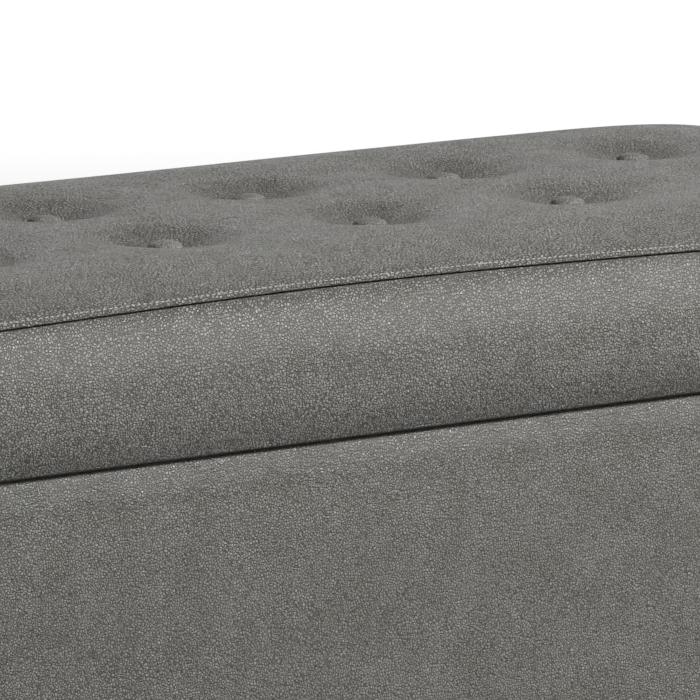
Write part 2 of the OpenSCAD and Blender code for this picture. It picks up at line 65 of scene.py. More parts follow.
top_hi = box("lid_top_panel")[1]
band_lo, band_hi = box("lid_band")
cover_lo, cover_hi = box("base_cover")
button_lo, button_hi = box("tuft_buttons")
post_lo = box("back_right_post")[0]
lining_lo, lining_hi = box("storage_lining")
HALF_L, HALF_D = top_hi[0], top_hi[1]        # the covers' outline
SEAM_Z = band_hi[2]
FOLD_Z = band_lo[2]                          # underside of the lid's leather
RIM_Z = cover_hi[2]                          # top of the box
FOOT_Z = cover_lo[2]                         # underside of the box's leather

# ---- Sizes of the soft shapes ----

LID_R = 24 * MM                              # corner radius of the lid
BOX_R = 12 * MM                              # corner radius of the box
SKIN = 1.5 * MM                              # leather
FOLD_W = 32 * MM                             # leather turned in under the lid and box
BUTTON_R = 11.5 * MM                         # radius of a covered button
BUTTON_SINK = 1.0 * MM                       # how far a covered button is drawn in past its CAD place
COLUMNS, ROWS = 6, 2
SEAT = 2.6 * MM                              # leather under a button's rim, above the seam
PLATEAU = 13.3 * MM                          # height that the pad pushes the leather to
STIFF_X, STIFF_Y = 46 * MM, 24 * MM          # how far in from the seam the leather is held down
BOWL_R = 55 * MM                             # where a button's pull ends
SEAM_IN = 6 * MM                             # width of the sewn edge of the top panel
SWELL_MOST = 2.4 * MM                        # the cloth may lift or drop the crown this much
BULGE = 14 * MM                              # how far the lid's side band stands out
CREASE_Z = SEAM_Z - 2.9 * MM                 # where the band starts, inside the seam's crease
HEM_DROP = 2.5 * MM                          # the band hangs this far below the lid, except at the hinges
HEM_R = 3.6 * MM                             # how sharply the band turns in under the lid
HEM_LEAN = math.radians(26)                  # slope of the band where that turn starts
HINGE_CLEAR = (0.13, 0.19)                   # Y range over which hem and crest fade away at the back
STITCH_IN = 3.4 * MM                         # stitches from the seam
STITCH_PITCH = 4.3 * MM                      # from one stitch to the next
ROLL_W, ROLL_H = 9 * MM, 25 * MM             # rounding of the box cover's top edge
LEG_TAPER = 16 / 22                          # width of a leg at the floor against its top
FLOOR_BOUNCE = 0.25                          # how much of the key light the floor throws back
WHITE = 1.02                                 # just enough for pure white
PX_PER_M = 1683.0                            # size of the picture at the camera's target

BUTTONS = [
    (x, y)
    for x in np.linspace(button_lo[0] + BUTTON_R, button_hi[0] - BUTTON_R, COLUMNS)
    for y in np.linspace(button_lo[1] + BUTTON_R, button_hi[1] - BUTTON_R, ROWS)
]


# ---- Mesh helpers ----

def piece(name, verts, faces, body, replaced=(), smooth=True):
    """A mesh piece that rides on a body and stands for CAD nodes."""
    mesh = bpy.data.meshes.new(name)
    mesh.from_pydata([tuple(v) for v in verts], [], [tuple(f) for f in faces])
    mesh.validate()
    mesh.update()
    if smooth:
        mesh.shade_smooth()
    obj = bpy.data.objects.new(name, mesh)
    bpy.context.scene.collection.objects.link(obj)
    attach(obj, body)
    if replaced:
        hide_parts(*replaced)
    return obj


def ring_faces(rings, count, start=0, flip=False):
    """Quads between closed rings of count points each, stored one ring after another."""
    faces = []
    for k in range(rings - 1):
        for i in range(count):
            a, b = start + k * count + i, start + k * count + (i + 1) % count
            quad = (a, b, b + count, a + count)
            faces.append(quad[::-1] if flip else quad)
    return faces


def grid_faces(nx, ny):
    """Quads of a grid that is stored one column of ny points after another."""
    return [(i * ny + j, (i + 1) * ny + j, (i + 1) * ny + j + 1, i * ny + j + 1)
            for i in range(nx - 1) for j in range(ny - 1)]


def grid_border(nx, ny):
    """The border points of such a grid in order, anticlockwise."""
    return ([i * ny for i in range(nx)] + [(nx - 1) * ny + j for j in range(1, ny)]
            + [i * ny + ny - 1 for i in range(nx - 2, -1, -1)] + [j for j in range(ny - 2, 0, -1)])


def travelled(points):
    """Distance along a line of points, from its first."""
    return np.concatenate([[0], np.cumsum(np.linalg.norm(np.diff(points, axis=0), axis=1))])


def waves(x, y, size, seed):
    """Smooth irregular value from -1 to 1 over a plane, with lumps of about the given size."""
    rng = np.random.default_rng(seed)
    total = np.zeros_like(np.asarray(x, float))
    for _ in range(7):
        turn = rng.uniform(0, 2 * math.pi)
        k = 2 * math.pi / (size * rng.uniform(0.7, 1.6))
        total = total + np.sin(k * (np.cos(turn) * x + np.sin(turn) * y) + rng.uniform(0, 2 * math.pi))
    return total / 4.0


def smooth(value, low, high):
    """0 below low, 1 above high, and a smooth step between."""
    t = np.clip((value - low) / (high - low), 0, 1)
    return t * t * (3 - 2 * t)


def outline(half_l, half_d, r, step, corner_steps):
    """Points and outward normals round a rectangle with round corners, from the front left, anticlockwise."""
    points, normals = [], []
    sides = [
        ((-1, -1), (1, -1), (0, -1)),
        ((1, -1), (1, 1), (1, 0)),
        ((1, 1), (-1, 1), (0, 1)),
        ((-1, 1), (-1, -1), (-1, 0)),
    ]
    for start, end, normal in sides:
        n = np.array(normal, float)
        a = np.array(start) * (half_l - r, half_d - r) + n * r
        b = np.array(end) * (half_l - r, half_d - r) + n * r
        count = max(1, round(float(np.linalg.norm(b - a)) / step))
        for t in np.linspace(0, 1, count + 1):
            points.append(a + (b - a) * t)
            normals.append(n)
        centre = np.array(end) * (half_l - r, half_d - r)
        angle = math.atan2(normal[1], normal[0])
        for t in np.linspace(0, math.pi / 2, corner_steps + 1)[1:-1]:
            n = np.array([math.cos(angle + t), math.sin(angle + t)])
            points.append(centre + n * r)
            normals.append(n)
    return np.array(points), np.array(normals)


def sweep(points, normals, profile):
    """Rings of a profile of (outwards, height) carried round an outline. Either may be an array per point."""
    rings = []
    for out, height in profile:
        xy = points + normals * np.reshape(np.broadcast_to(out, len(points)), (-1, 1))
        rings.append(np.column_stack([xy, np.broadcast_to(height, len(points))]))
    return np.concatenate(rings)


def sweep_in(points, normals, profile, r):
    """Like sweep, but where the profile goes further in than the corner radius, the corner becomes square."""
    rings = []
    for out, height in profile:
        out = np.broadcast_to(out, len(points)).astype(float)
        beyond = np.maximum(-out - r, 0)[:, None]
        towards = np.where(np.abs(normals) > 0.02, np.sign(points), 0.0)
        xy = points + normals * np.maximum(out, -r)[:, None] - towards * beyond
        if np.any(beyond):
            limit = np.array([HALF_L, HALF_D]) + np.minimum(out, 0)[:, None]
            xy = np.sign(xy) * np.minimum(np.abs(xy), np.maximum(limit, 0))
        rings.append(np.column_stack([xy, np.broadcast_to(height, len(points))]))
    return np.concatenate(rings)


# ---- The lid's seam and crown ----

def seam_drop(x, y):
    """How far the seam sags below its middle: the leather is pulled down towards the corners."""
    front = 8 * MM * (1 - np.exp(-(((x + 0.045) / 0.3) ** 2)))
    u = np.abs(x) / HALF_L
    back = 1.2 * MM * u**2 + 5.5 * MM * u**6 + 1.2 * MM * smooth(u, 0.62, 0.88)
    t = np.clip((y + HALF_D) / (2 * HALF_D), 0, 1)
    return front + (back - front) * t


def relaxed_crown(step=3 * MM, rounds=900):
    """Height over the seam's plane of leather stretched over the pad, held along the seam."""
    nx, ny = int(round(2 * HALF_L / step)) + 1, int(round(2 * HALF_D / step)) + 1
    xs, ys = np.linspace(-HALF_L, HALF_L, nx), np.linspace(-HALF_D, HALF_D, ny)
    x, y = np.meshgrid(xs, ys, indexing="ij")
    dx = np.maximum(np.abs(x) - (HALF_L - LID_R), 0)
    dy = np.maximum(np.abs(y) - (HALF_D - LID_R), 0)
    edge = np.hypot(dx, dy) >= LID_R - 0.5 * step
    target = PLATEAU + 1.2 * MM * np.exp(-((y / (45 * MM)) ** 2))
    target = target + 0.6 * MM * waves(x, y, 0.16, 3) - 0.35 * seam_drop(x, y)
    held = -seam_drop(x, y)
    h = np.where(edge, held, target)
    kx, ky = (STIFF_X / (xs[1] - xs[0])) ** 2, (STIFF_Y / (ys[1] - ys[0])) ** 2
    for _ in range(rounds):
        p = np.pad(h, 1, mode="edge")
        pulled = kx * (p[2:, 1:-1] + p[:-2, 1:-1]) + ky * (p[1:-1, 2:] + p[1:-1, :-2]) + target
        h = pulled / (2 * kx + 2 * ky + 1)
        h = np.where(edge, held, h)
    return xs, ys, h


CROWN_X, CROWN_Y, CROWN_H = relaxed_crown()


def on_grid(xs, ys, values, x, y):
    """Values on a regular grid, read between its points."""
    fx = np.clip((x - xs[0]) / (xs[1] - xs[0]), 0, len(xs) - 1.001)
    fy = np.clip((y - ys[0]) / (ys[1] - ys[0]), 0, len(ys) - 1.001)
    i, j = fx.astype(int), fy.astype(int)
    u, v = fx - i, fy - j
    return (values[i, j] * (1 - u) * (1 - v) + values[i + 1, j] * u * (1 - v)
            + values[i, j + 1] * (1 - u) * v + values[i + 1, j + 1] * u * v)


def tufted(x, y):
    """The relaxed crown with the bowls that the buttons pull into it."""
    h = on_grid(CROWN_X, CROWN_Y, CROWN_H, x, y)
    for k, (bx, by) in enumerate(BUTTONS):
        r = np.hypot(x - bx, y - by)
        angle = np.arctan2(y - by, x - bx)
        lobes = 1 + 0.06 * np.cos(2 * angle + 1.3 * k) + 0.05 * np.cos(3 * angle + 2.1 * k)
        bowl = 1 - smooth(r * lobes, 9 * MM, BOWL_R)
        h = h + (SEAT - h) * bowl - 1.2 * MM * np.exp(-((r / (75 * MM)) ** 2)) * (1 - bowl)
    return h


def cloth_swell(step=8 * MM, frames=20):
    """How cloth, held along the seam and at the buttons, lifts and ripples under light pressure."""
    nx, ny = int(round(2 * HALF_L / step)) + 1, int(round(2 * HALF_D / step)) + 1
    xs, ys = np.linspace(-HALF_L, HALF_L, nx), np.linspace(-HALF_D, HALF_D, ny)
    x, y = np.meshgrid(xs, ys, indexing="ij")
    start = tufted(x, y)
    mesh = bpy.data.meshes.new("cloth_trial")
    mesh.from_pydata(np.column_stack([x.ravel(), y.ravel(), start.ravel()]).tolist(), [], grid_faces(nx, ny))
    trial = bpy.data.objects.new("cloth_trial", mesh)
    bpy.context.scene.collection.objects.link(trial)
    held = (np.abs(x) > HALF_L - 1.5 * step) | (np.abs(y) > HALF_D - 1.5 * step)
    for bx, by in BUTTONS:
        held |= np.hypot(x - bx, y - by) < BUTTON_R + 2 * MM
    group = trial.vertex_groups.new(name="held")
    group.add([int(k) for k in np.flatnonzero(held.ravel())], 1.0, "REPLACE")
    cloth = trial.modifiers.new("cloth", "CLOTH")
    settings = cloth.settings
    settings.quality = 5
    settings.mass = 0.3
    settings.tension_stiffness = settings.compression_stiffness = 15
    settings.shear_stiffness = 5
    settings.bending_stiffness = 0.5
    settings.use_pressure = True
    settings.uniform_pressure_force = 4
    settings.effector_weights.gravity = 0
    settings.vertex_group_mass = "held"
    cloth.collision_settings.use_collision = False
    scene = bpy.context.scene
    for f in range(1, frames + 1):
        scene.frame_set(f)
    done = trial.evaluated_get(bpy.context.evaluated_depsgraph_get())
    settled = np.empty(len(mesh.vertices) * 3)
    done.data.vertices.foreach_get("co", settled)
    lift = settled[2::3].reshape(nx, ny) - start
    bpy.data.objects.remove(trial)
    bpy.data.meshes.remove(mesh)
    scene.frame_set(1)
    return xs, ys, SWELL_MOST * np.tanh((lift - np.median(lift)) / SWELL_MOST)


SWELL_X, SWELL_Y, SWELL_H = cloth_swell()


def crown_height(x, y):
    """The settled crown at any place, with the small gathers round the buttons and along the seam."""
    inset = np.minimum(HALF_L - np.abs(x), HALF_D - np.abs(y))
    h = tufted(x, y) + on_grid(SWELL_X, SWELL_Y, SWELL_H, x, y) * smooth(inset, 4 * MM, 26 * MM)
    for k, (bx, by) in enumerate(BUTTONS):
        r = np.hypot(x - bx, y - by)
        angle = np.arctan2(y - by, x - bx)
        fade = np.exp(-np.maximum(r - BUTTON_R, 0) / (13 * MM)) * np.clip((r - 6 * MM) / (8 * MM), 0, 1)
        gathers = np.cos(7 * angle + 1.7 * k) + 0.7 * np.cos(4 * angle + 0.9 * k + 2 * np.sin(angle))
        h = h + 0.30 * MM * gathers * fade
    along = np.where(HALF_L - np.abs(x) < HALF_D - np.abs(y), y, x)
    puckers = waves(along, 0 * along, 0.016, 8)
    return h + 0.22 * MM * puckers * np.exp(-np.maximum(inset, 0) / (9 * MM))


# ---- Node materials ----

def add(tree, kind, inputs=None, **settings):
    """A shader node with its settings, values and links."""
    made = tree.nodes.new("ShaderNode" + kind)
    for key, value in settings.items():
        setattr(made, key, value)
    for key, value in (inputs or {}).items():
        if isinstance(value, bpy.types.NodeSocket):
            tree.links.new(value, made.inputs[key])
        else:
            made.inputs[key].default_value = value
    return made


def material(name, **values):
    """An empty material: its tree, its surface shader and the object's coordinates."""
    made = bpy.data.materials.new(name)
    made.use_nodes = True
    tree = made.node_tree
    tree.nodes.clear()
    surface = add(tree, "BsdfPrincipled", {key.replace("_", " "): value for key, value in values.items()})
    output = add(tree, "OutputMaterial", {"Surface": surface.outputs["BSDF"]})
    output.is_active_output = True
    return made, tree, surface, add(tree, "TexCoord").outputs["Object"]


def math_node(tree, operation, a, b=0.0):
    return add(tree, "Math", {0: a, 1: b}, operation=operation).outputs[0]


def link_bump(tree, surface, height, strength, distance):
    """Gives the surface the relief of a height."""
    bump = add(tree, "Bump", {"Strength": strength, "Distance": distance, "Height": height})
    tree.links.new(bump.outputs[0], surface.inputs["Normal"])


def height_of(tree, where):
    """The Z of the coordinates."""
    return add(tree, "SeparateXYZ", {0: where}).outputs["Z"]


def cells(tree, where, scale):
    """Distance to the nearest border between irregular cells."""
    made = add(tree, "TexVoronoi", {"Vector": where, "Scale": scale}, feature="DISTANCE_TO_EDGE")
    return made.outputs["Distance"]


def ramp(tree, value, low, high, to_low=0.0, to_high=1.0):
    """Maps low..high smoothly to to_low..to_high."""
    return add(
        tree, "MapRange",
        {"Value": value, "From Min": low, "From Max": high, "To Min": to_low, "To Max": to_high},
        interpolation_type="SMOOTHSTEP",
    ).outputs["Result"]


def mix(tree, factor, a, b):
    return add(tree, "Mix", {0: factor, 6: a, 7: b}, data_type="RGBA").outputs[2]


def noise(tree, where, scale, detail=2.0, rough=0.5):
    return add(
        tree, "TexNoise", {"Vector": where, "Scale": scale, "Detail": detail, "Roughness": rough},
    ).outputs["Fac"]


def warped(tree, where, scale, amount):
    """The coordinates shaken by noise, so that cells don't look drawn with a ruler."""
    shake = add(tree, "TexNoise", {"Vector": where, "Scale": scale, "Detail": 2.0}).outputs["Color"]
    centred = add(tree, "VectorMath", {0: shake, 1: (0.5, 0.5, 0.5)}, operation="SUBTRACT").outputs[0]
    scaled = add(tree, "VectorMath", {0: centred, "Scale": amount}, operation="SCALE").outputs[0]
    return add(tree, "VectorMath", {0: where, 1: scaled}, operation="ADD").outputs[0]


def stretched(tree, where, scale):
    """The coordinates scaled, so that a pattern comes out longer where the scale is small."""
    return add(tree, "Mapping", {"Vector": where, "Scale": scale}).outputs[0]


def grey(value, warmth=0.0):
    """A linear grey, warmer or cooler."""
    return (value * (1 + 0.25 * warmth), value, value * (1 - warmth), 1)


def leather(name, tone=1.0, grain=1.0, size=1.0, creased=None, painted_dimple_shade=False, gloss_and_painted_highlight=None, painted_edge_shade=None):
    """Grey faux leather: pebbles parted by fine cracks, mottled, shinier on the pebbles.

    creased is the height range over which folds come in; gloss_and_painted_highlight the middle and half
    width of a strip that is glossier and has a painted highlight, its colour lightened; painted_edge_shade
    the heights of the lower and upper edge, near which the cracks are made wider and darker as painted
    shade, and the pebbles a little lighter towards the lower edge; painted_dimple_shade darkens the
    leather round the buttons as painted shade.
    """
    made, tree, surface, where = material(name, Specular_IOR_Level=0.5)
    shaken = warped(tree, where, 300.0, 1.3 * MM)
    border = cells(tree, shaken, 540.0 / size)
    pebble = ramp(tree, border, 0.0, 0.24)
    small_pebble = ramp(tree, cells(tree, shaken, 1150.0 / size), 0.0, 0.35)
    pores = noise(tree, where, 2600.0, 3.0, 0.6)
    height = math_node(tree, "MULTIPLY", pebble, 0.62)
    height = math_node(tree, "ADD", height, math_node(tree, "MULTIPLY", small_pebble, 0.24))
    height = math_node(tree, "ADD", height, math_node(tree, "MULTIPLY", pores, 0.14))
    if creased:
        drawn = stretched(tree, warped(tree, where, 45.0, 9 * MM), (0.32, 0.32, 1.0))
        line = cells(tree, drawn, 210.0)
        here = ramp(tree, noise(tree, where, 30.0), 0.4, 0.6)
        zone = math_node(tree, "MULTIPLY", ramp(tree, height_of(tree, where), *creased), here)
        folds = math_node(tree, "MULTIPLY", ramp(tree, line, 0.0, 0.07, 1.0, 0.0), zone)
        height = math_node(tree, "SUBTRACT", height, math_node(tree, "MULTIPLY", folds, 0.7))
    link_bump(tree, surface, height, grain, 1.25 * MM * size)

    clouds = ramp(tree, noise(tree, where, 9.0, 4.0, 0.6), 0.3, 0.7)
    patches = ramp(tree, noise(tree, where, 38.0, 5.0, 0.62), 0.32, 0.68)
    base = mix(tree, clouds, grey(0.150 * tone, 0.13), grey(0.160 * tone, 0.09))
    base = mix(tree, patches, mix(tree, 0.5, base, grey(0.130 * tone, 0.16)), grey(0.176 * tone, 0.08))
    crack_reach = 0.19
    if painted_edge_shade:                               # painted shade: cracks wider and darker within 15 mm of the seam and 42 mm of the lower edge; pebbles a little lighter towards the lower edge
        z = height_of(tree, where)
        lower = ramp(tree, z, painted_edge_shade[0], painted_edge_shade[0] + 42 * MM, 1.0, 0.0)
        upper = ramp(tree, z, painted_edge_shade[1] - 15 * MM, painted_edge_shade[1] - 3 * MM)
        crack_reach = ramp(tree, math_node(tree, "MAXIMUM", lower, upper), 0.0, 1.0, 0.20, 0.33)
        base = mix(tree, math_node(tree, "MULTIPLY", lower, 0.20), base, grey(0.42 * tone, 0.08))
    cracks = ramp(tree, border, 0.0, crack_reach, 0.95, 0.0)
    base = mix(tree, cracks, base, grey(0.022 * tone, 0.2))
    shine = 0.0
    # painted highlight: the colour is lightened along the strip; its lower roughness further down is real
    # gloss
    if gloss_and_painted_highlight:
        centre, width = gloss_and_painted_highlight
        off = math_node(tree, "SUBTRACT", height_of(tree, where), centre)
        shine = ramp(tree, math_node(tree, "ABSOLUTE", off), 0.2 * width, width, 1.0, 0.0)
        base = mix(tree, math_node(tree, "MULTIPLY", shine, 0.08), base, grey(0.42 * tone, 0.0))
    # painted shade in the bowls: the leather is mixed up to 28 % towards dark grey near each button, fading
    # out by 58 mm
    if painted_dimple_shade:
        for k in range(ROWS):
            first = (-BUTTONS[0][0], -BUTTONS[k][1], 0)
            row = add(tree, "Mapping", {"Vector": where, "Location": first}).outputs[0]
            pitch = BUTTONS[ROWS][0] - BUTTONS[0][0]
            x, y, _ = add(tree, "SeparateXYZ", {0: row}).outputs
            x = add(tree, "Math", {0: x, 1: pitch / 2, 2: -pitch / 2}, operation="WRAP").outputs[0]
            flat = add(tree, "CombineXYZ", {0: x, 1: y}).outputs[0]
            near = add(tree, "VectorMath", {0: flat}, operation="LENGTH").outputs["Value"]
            bowl_shade = ramp(tree, near, 10 * MM, 58 * MM, 0.28, 0.0)
            base = mix(tree, bowl_shade, base, grey(0.05, 0.15))
    tree.links.new(base, surface.inputs["Base Color"])
    gloss = ramp(tree, pebble, 0.2, 1.0, 0.50, 0.33)
    gloss = math_node(tree, "ADD", gloss, math_node(tree, "MULTIPLY", patches, -0.06))
    gloss = math_node(tree, "SUBTRACT", gloss, math_node(tree, "MULTIPLY", shine, 0.06))
    tree.links.new(gloss, surface.inputs["Roughness"])
    return made


def cloth(name, colour, lift=1.4, rough=0.9):
    """Non-woven cloth: bonded fibres with a faint grid of weld points."""
    made, tree, surface, where = material(name, Roughness=rough, Sheen_Weight=0.08, Sheen_Roughness=0.5)
    fibres = noise(tree, stretched(tree, where, (1.0, 0.25, 1.0)), 2400.0, 4.0, 0.7)
    across = noise(tree, stretched(tree, where, (0.25, 1.0, 0.25)), 2100.0, 4.0, 0.7)
    tangle = math_node(tree, "MAXIMUM", fibres, across)
    dots = add(tree, "TexVoronoi", {"Vector": where, "Scale": 620.0, "Randomness": 0.15}).outputs["Distance"]
    weld = ramp(tree, dots, 0.18, 0.34, 0.0, 1.0)
    height = math_node(tree, "MULTIPLY", tangle, weld)
    link_bump(tree, surface, height, 0.5, 0.2 * MM)
    bright = tuple(c * lift for c in colour[:3]) + (1,)
    tree.links.new(mix(tree, height, colour, bright), surface.inputs["Base Color"])
    return made


def wood(name, dark, light, axis, ring_scale, rough=0.5, coat=0.0, pores=0.5):
    """Wood with its grain along an axis: streaks, growth rings and pores."""
    made, tree, surface, where = material(name, Coat_Weight=coat, Coat_Roughness=0.25)
    along = [1.0, 1.0, 1.0]
    along[axis] = 0.06
    grainwise = stretched(tree, where, tuple(along))
    bent = warped(tree, grainwise, 14.0, 14 * MM)
    rings = add(
        tree, "TexWave",
        {"Vector": bent, "Scale": ring_scale, "Distortion": 3.0, "Detail": 3.0, "Detail Scale": 1.5},
        bands_direction="Y" if axis != 1 else "X",
    ).outputs["Fac"]
    streaks = noise(tree, grainwise, 340.0, 5.0, 0.65)
    pore = ramp(tree, noise(tree, grainwise, 1500.0, 2.0, 0.5), 0.30, 0.42, 1.0, 0.0)
    soft, strong = math_node(tree, "MULTIPLY", rings, 0.45), math_node(tree, "MULTIPLY", streaks, 0.6)
    tone = math_node(tree, "ADD", soft, strong)
    colour = mix(tree, ramp(tree, tone, 0.15, 0.85), dark, light)
    shade = tuple(c * 0.55 for c in dark[:3]) + (1,)
    colour = mix(tree, math_node(tree, "MULTIPLY", pore, pores), colour, shade)
    tree.links.new(colour, surface.inputs["Base Color"])
    tree.links.new(ramp(tree, tone, 0.0, 1.0, rough + 0.1, rough - 0.08), surface.inputs["Roughness"])
    height = math_node(tree, "SUBTRACT", strong, math_node(tree, "MULTIPLY", pore, 0.4))
    link_bump(tree, surface, height, 0.35, 0.25 * MM)
    return made


def metal(name, colour, rough, streak_axis=0, metallic=1.0, scratch=0.5):
    """Plated or painted steel: drawn streaks, smudges and a few scratches."""
    made, tree, surface, where = material(name, Metallic=metallic)
    along = [1.0, 1.0, 1.0]
    along[streak_axis] = 0.03
    brushed = noise(tree, stretched(tree, where, tuple(along)), 2600.0, 4.0, 0.6)
    smudge = noise(tree, where, 60.0, 4.0, 0.6)
    dull = tuple(c * 0.78 for c in colour[:3]) + (1,)
    half_brushed = math_node(tree, "MULTIPLY", brushed, 0.5)
    tone = math_node(tree, "ADD", half_brushed, math_node(tree, "MULTIPLY", smudge, 0.5))
    tree.links.new(mix(tree, ramp(tree, tone, 0.35, 0.65), dull, colour), surface.inputs["Base Color"])
    tree.links.new(ramp(tree, tone, 0.3, 0.7, rough + 0.12, rough - 0.06), surface.inputs["Roughness"])
    link_bump(tree, surface, brushed, scratch, 0.05 * MM)
    return made


def plastic(name, colour, rough=0.5, texture=1800.0):
    """Moulded plastic or rubber with a fine spark-eroded surface."""
    made, tree, surface, where = material(name)
    speckle = noise(tree, where, texture, 3.0, 0.6)
    cloud = noise(tree, where, 70.0, 3.0, 0.5)
    shade = tuple(c * 0.85 for c in colour[:3]) + (1,)
    tree.links.new(mix(tree, cloud, shade, colour), surface.inputs["Base Color"])
    tree.links.new(ramp(tree, speckle, 0.3, 0.7, rough - 0.06, rough + 0.08), surface.inputs["Roughness"])
    link_bump(tree, surface, speckle, 0.3, 0.08 * MM)
    return made


def foam(name, colour):
    """Open-cell foam or wadding, finely pitted."""
    made, tree, surface, where = material(name, Roughness=0.95, Subsurface_Weight=0.05)
    pits = add(tree, "TexVoronoi", {"Vector": where, "Scale": 900.0}).outputs["Distance"]
    holes = noise(tree, where, 300.0, 4.0, 0.7)
    height = math_node(tree, "ADD", pits, math_node(tree, "MULTIPLY", holes, 0.7))
    link_bump(tree, surface, height, 0.6, 0.4 * MM)
    dark = tuple(c * 0.8 for c in colour[:3]) + (1,)
    tree.links.new(mix(tree, ramp(tree, height, 0.3, 1.2), dark, colour), surface.inputs["Base Color"])
    return made


# the band's leather: painted highlight over its upper third, painted shade along its seam and lower edge
LEATHER = leather(
    "leather", grain=0.9, size=1.08, gloss_and_painted_highlight=(SEAM_Z - 24 * MM, 24 * MM), painted_edge_shade=(FOLD_Z, SEAM_Z),
)
# the top's leather: painted shade in the bowls round the buttons, and a tone a little darker than the band's
# and box's, which tones down the more brightly lit top as painted shade
LEATHER_TOP = leather("leather_top", tone=0.95, size=1.3, painted_dimple_shade=True)
# the box's leather: painted highlight along its rolled top edge
LEATHER_BOX = leather(
    "leather_box", creased=(RIM_Z - 34 * MM, RIM_Z - 12 * MM), gloss_and_painted_highlight=(RIM_Z - 8 * MM, 17 * MM),
)
THREAD = cloth("thread", (0.21, 0.206, 0.195, 1), 1.5, 0.7)
MATERIALS = {
    "board": wood("board", (0.40, 0.27, 0.15, 1), (0.62, 0.46, 0.29, 1), 0, 9.0, 0.6),
    "pine": wood("pine", (0.52, 0.36, 0.19, 1), (0.72, 0.55, 0.34, 1), 2, 22.0, 0.6),
    "stained_wood": wood(
        "stained_wood", (0.018, 0.009, 0.005, 1), (0.055, 0.028, 0.016, 1), 2, 26.0, 0.4, 0.35, 0.8),
    "leather": LEATHER,
    "foam": foam("foam", (0.80, 0.74, 0.52, 1)),
    "wadding": foam("wadding", (0.84, 0.84, 0.82, 1)),
    "lining": cloth("lining", (0.013, 0.013, 0.014, 1), 2.6),
    "dust_cloth": cloth("dust_cloth", (0.011, 0.011, 0.012, 1), 2.6),
    "twine": cloth("twine", (0.60, 0.58, 0.50, 1), 1.3, 0.7),
    "anchor_nylon": plastic("anchor_nylon", (0.72, 0.71, 0.66, 1), 0.45),
    "glide_plastic": plastic("glide_plastic", (0.05, 0.05, 0.05, 1), 0.5),
    "bumper_rubber": plastic("bumper_rubber", (0.02, 0.02, 0.02, 1), 0.7),
    "zinc_steel": metal("zinc_steel", (0.60, 0.60, 0.56, 1), 0.34),
    "hinge_steel": metal("hinge_steel", (0.58, 0.57, 0.55, 1), 0.30),
    "arm_steel": metal("arm_steel", (0.57, 0.57, 0.57, 1), 0.30, 1),
    "rivet_steel": metal("rivet_steel", (0.66, 0.65, 0.63, 1), 0.24),
    "black_metal": metal("black_metal", (0.016, 0.016, 0.017, 1), 0.42, 2, 0.0, 0.3),
    "black_screw": metal("black_screw", (0.03, 0.03, 0.032, 1), 0.36, 0, 1.0, 0.3),
}
for entry in frame["record"]["subparts"]:
    node = nodes[entry["node"]]
    node.data.materials.clear()
    node.data.materials.append(MATERIALS[entry["material_slot"]])


def finish_piece(obj, made):
    """Gives a piece its material."""
    obj.data.materials.append(made)
    return obj


# ---- Lid: the top panel ----

def rounded_grid(half_l, half_d, r, step):
    """A grid over a rectangle with round corners, and the order and normals of its outline."""
    corner = max(3, round(1.2 * r / step))

    def lines(half):
        cut = np.linspace(-half, -(half - r), corner + 1)[:-1]
        middle = np.linspace(-(half - r), half - r, round(2 * (half - r) / step) + 1)
        return np.concatenate([cut, middle, -cut[::-1]])

    xs, ys = lines(half_l), lines(half_d)
    x, y = np.meshgrid(xs, ys, indexing="ij")
    a = np.maximum(np.abs(x) - (half_l - r), 0) / r
    b = np.maximum(np.abs(y) - (half_d - r), 0) / r
    na, nb = np.sign(x) * a * np.sqrt(1 - b * b / 2), np.sign(y) * b * np.sqrt(1 - a * a / 2)
    x = np.sign(x) * np.minimum(np.abs(x), half_l - r) + r * na
    y = np.sign(y) * np.minimum(np.abs(y), half_d - r) + r * nb
    nx, ny = len(xs), len(ys)
    loop = grid_border(nx, ny)
    normals = np.column_stack([na.ravel(), nb.ravel()])[loop]
    return x.ravel(), y.ravel(), grid_faces(nx, ny), loop, normals


def make_top():
    """The tufted panel, with the sewn edge that rolls over into the seam."""
    x, y, faces, loop, normals = rounded_grid(HALF_L - SEAM_IN, HALF_D - SEAM_IN, LID_R - SEAM_IN, 3 * MM)
    verts = np.column_stack([x, y, SEAM_Z + crown_height(x, y)])
    start = verts[loop]
    edge = start[:, :2] + normals * SEAM_IN
    foot = SEAM_Z - seam_drop(edge[:, 0], edge[:, 1])
    # inset from the outline and height over the sloping leather, in mm
    profile = [(4.7, -0.05), (4.2, -0.3), (3.7, -0.5), (3.2, -0.5), (2.8, -0.05), (2.3, 0.5), (1.75, 0.85),
               (1.1, 0.85), (0.5, 0.4), (0.15, -0.2), (0.0, -0.9), (0.4, -1.5), (2.2, -1.8), (4.0, -1.8)]
    rings = [verts]
    for inset, rise in profile:
        height = foot + (start[:, 2] - foot) * inset * MM / SEAM_IN + rise * MM
        if rise <= -1.0:                     # turned in under the seam
            height = foot + rise * MM
        xy = edge - normals * inset * MM
        rings.append(np.column_stack([xy, height]))
    base = len(verts)
    count = len(loop)
    for i in range(count):
        a, b = loop[i], loop[(i + 1) % count]
        c, d = base + (i + 1) % count, base + i
        faces.append((b, a, d, c))
    faces += ring_faces(len(profile), count, base, flip=True)
    top = piece("lid_top_leather", np.concatenate(rings), faces, "lid", ["lid_top_panel"])
    return finish_piece(top, LEATHER_TOP)


top_cover = make_top()


# ---- Lid: topstitching along the seam ----

